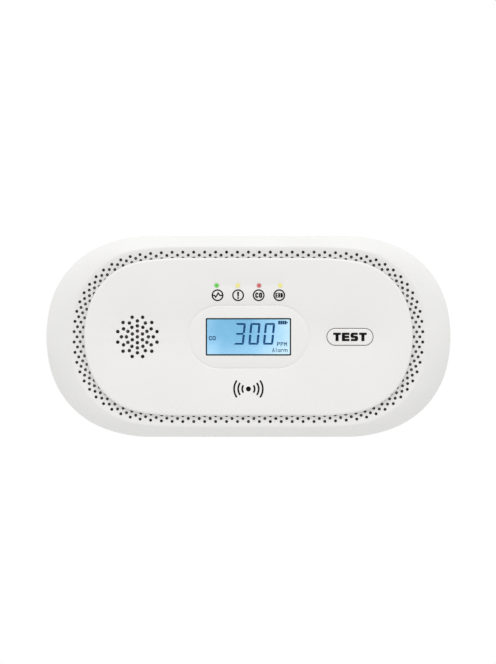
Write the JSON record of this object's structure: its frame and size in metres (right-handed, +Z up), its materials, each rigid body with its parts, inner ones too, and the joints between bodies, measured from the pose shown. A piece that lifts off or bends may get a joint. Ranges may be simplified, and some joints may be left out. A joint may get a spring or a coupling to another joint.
{
  "type": "carbon monoxide alarm",
  "caption": "Wall-mounted oval gas alarm in white plastic with a ring of round vents, a backlit display, status lights, a test button, a sounder grille and a rear battery hatch.",
  "frame": {"origin": "centre of the flat back face, where the case meets the wall", "axes": "+Z up the wall, +X to the right seen from the room, +Y into the wall, so the front faces -Y"},
  "size_m": [0.13, 0.0342, 0.0644],
  "materials": {
    "white_shell": "fine satin moulded ABS",
    "white_panel": "fine satin moulded ABS",
    "label": "satin film label, blank",
    "mesh": "fine grey-brown woven mesh",
    "clear_lens": "clear polished acrylic",
    "black_foam": "matt black",
    "display": "blue backlit liquid crystal",
    "backlight": "milky light guide",
    "black_plastic": "matt black",
    "rubber_strip": "pink silicone",
    "led_green": "tinted clear epoxy",
    "led_amber": "tinted clear epoxy",
    "led_red": "tinted clear epoxy",
    "light_guide": "clear acrylic",
    "switch_plastic": "satin",
    "sounder_plastic": "matt grey-brown",
    "brass": "bright rolled brass",
    "ceramic": "silvered ceramic",
    "wire": "PVC sleeve",
    "steel": "nickel plated steel",
    "pins": "gold plated",
    "filter": "white porous film",
    "board": "green solder mask",
    "capacitor_sleeve": "shrink sleeve with aluminium top",
    "ferrite": "dark ferrite",
    "chips": "chip component with tinned ends",
    "cell_jacket": "printed film over steel",
    "screw_steel": "zinc plated"
  },
  "bodies": {
    "case": {"front_shell": "white_shell", "rear_cover": "white_shell", "front_panel": "white_panel", "insect_mesh": "mesh", "display_lens": "clear_lens", "display_gasket": "black_foam", "lcd_glass": "display", "lcd_backlight": "backlight", "lcd_frame": "black_plastic", "switch_body": "black_plastic", "microcontroller": "black_plastic", "sensor_cap": "black_plastic", "lcd_strips": "rubber_strip", "led_green": "led_green", "led_amber_left": "led_amber", "led_amber_right": "led_amber", "led_red": "led_red", "light_pipe": "light_guide", "sounder_chamber": "sounder_plastic", "piezo_disc": "brass", "piezo_ceramic": "ceramic", "sounder_wires": "wire", "sensor_can": "steel", "positive_contacts": "steel", "negative_contacts": "steel", "battery_springs": "steel", "sensor_pins": "pins", "sensor_filter": "filter", "circuit_board": "board", "capacitor": "capacitor_sleeve", "sounder_inductor": "ferrite", "chip_parts": "chips", "aa_cell_1": "cell_jacket", "aa_cell_2": "cell_jacket", "aa_cell_3": "cell_jacket", "case_screws": "screw_steel"},
    "test_button": {"test_button": "white_shell"},
    "switch_plunger": {"switch_plunger": "switch_plastic"},
    "battery_door": {"battery_door": "white_shell", "rating_label": "label"}
  },
  "joints": [
    {"name": "test_button_press", "type": "slide", "parent": "case", "child": "test_button", "axis": [0, 1, 0], "range_m": [0, 0.0005], "stiffness_N_per_m": 2500, "springref_m": -0.0001},
    {"name": "switch_plunger_travel", "type": "slide", "parent": "case", "child": "switch_plunger", "axis": [0, 1, 0], "range_m": [0, 0.00025]},
    {"name": "battery_door_swing", "type": "hinge", "parent": "case", "child": "battery_door", "pos_m": [0, -0.00115, -0.02105], "axis": [-1, 0, 0], "range_deg": [0, 75]}
  ],
  "couplings": [
    {"joint": "switch_plunger_travel", "follows": "test_button_press", "ratio": 0.5}
  ]
}
